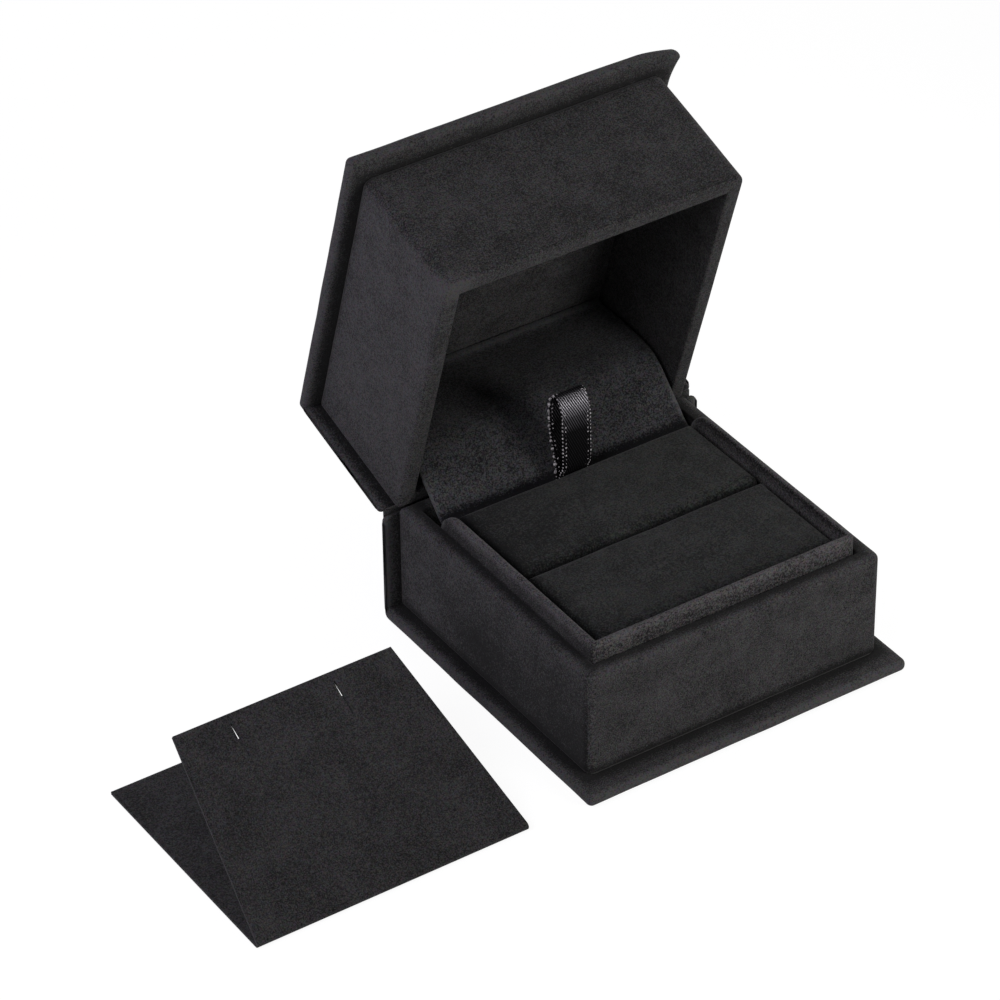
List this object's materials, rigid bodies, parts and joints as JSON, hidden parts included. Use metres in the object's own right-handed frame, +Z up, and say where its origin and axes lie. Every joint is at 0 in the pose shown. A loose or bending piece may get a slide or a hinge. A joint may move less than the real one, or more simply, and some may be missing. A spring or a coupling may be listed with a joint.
{
  "type": "hinged ring box",
  "caption": "Suede-wrapped hinged ring box, lid open, with a shoulder neck, lift-out ring pad, ribbon pull loop, inner liner and a folded insert card beside it.",
  "frame": {"origin": "middle of the base plate's underside", "axes": "+Z up, the box's front towards -Y, its hinged back towards +Y, +X to its right"},
  "size_m": [0.1274, 0.0887, 0.0891],
  "materials": {
    "suede_cloth": "matte",
    "liner_cloth": "matte",
    "greyboard": "matte",
    "foam": "matte",
    "satin_ribbon": "satin",
    "flocked_card": "matte"
  },
  "bodies": {
    "base": {"base_case_cloth": "suede_cloth", "tray_cloth": "suede_cloth", "neck_cloth": "suede_cloth", "hinge_strip": "suede_cloth", "hinge_liner": "liner_cloth", "base_board": "greyboard", "spine_board": "greyboard", "tray_floor_card": "greyboard", "tray_board_front": "greyboard", "tray_board_left": "greyboard", "tray_board_right": "greyboard", "tray_board_back": "greyboard", "neck_board_front": "greyboard", "neck_board_left": "greyboard", "neck_board_right": "greyboard", "neck_board_back": "greyboard"},
    "lid": {"lid_top_board": "greyboard", "lid_back_board": "greyboard", "lid_case_cloth": "suede_cloth", "lid_wall_cloth": "suede_cloth", "ceiling_card": "greyboard", "ceiling_cloth": "suede_cloth", "lid_board_front": "greyboard", "lid_board_left": "greyboard", "lid_board_right": "greyboard", "lid_board_back": "greyboard"},
    "ring_pad": {"pad_card": "greyboard", "pad_foam_front": "foam", "pad_foam_rear": "foam", "pad_cloth_front": "suede_cloth", "pad_cloth_rear": "suede_cloth", "ribbon_tail": "satin_ribbon"},
    "ribbon": {"ribbon_loop": "satin_ribbon"},
    "insert_lower": {"insert_leaf_lower": "flocked_card", "insert_fold": "flocked_card"},
    "insert_upper": {"insert_leaf_upper": "flocked_card"}
  },
  "joints": [
    {"name": "lid_hinge", "type": "hinge", "parent": "base", "child": "lid", "pos_m": [0, 0.0296, 0.0225], "axis": [-1, 0, 0], "range_deg": [-72.6, 0], "deforming": ["hinge_liner", "hinge_strip"]},
    {"name": "pad_lift", "type": "slide", "parent": "base", "child": "ring_pad", "axis": [0, 0, 1], "range_m": [0, 0.028]},
    {"name": "ribbon_fold", "type": "hinge", "parent": "ring_pad", "child": "ribbon", "pos_m": [0, 0.02115, 0.0253], "axis": [-1, 0, 0], "range_deg": [-60, 40], "stiffness_Nm_per_rad": 0.0002, "deforming": ["ribbon_tail"]},
    {"name": "insert_lift", "type": "slide", "parent": "base", "child": "insert_lower", "axis": [0, 0, 1], "range_m": [0, 0.03]},
    {"name": "leaf_fold", "type": "hinge", "parent": "insert_lower", "child": "insert_upper", "pos_m": [-0.0692, -0.0293, 0.00075], "axis": [1, 0, 0], "range_deg": [-24, 90], "deforming": ["insert_fold"]}
  ]
}
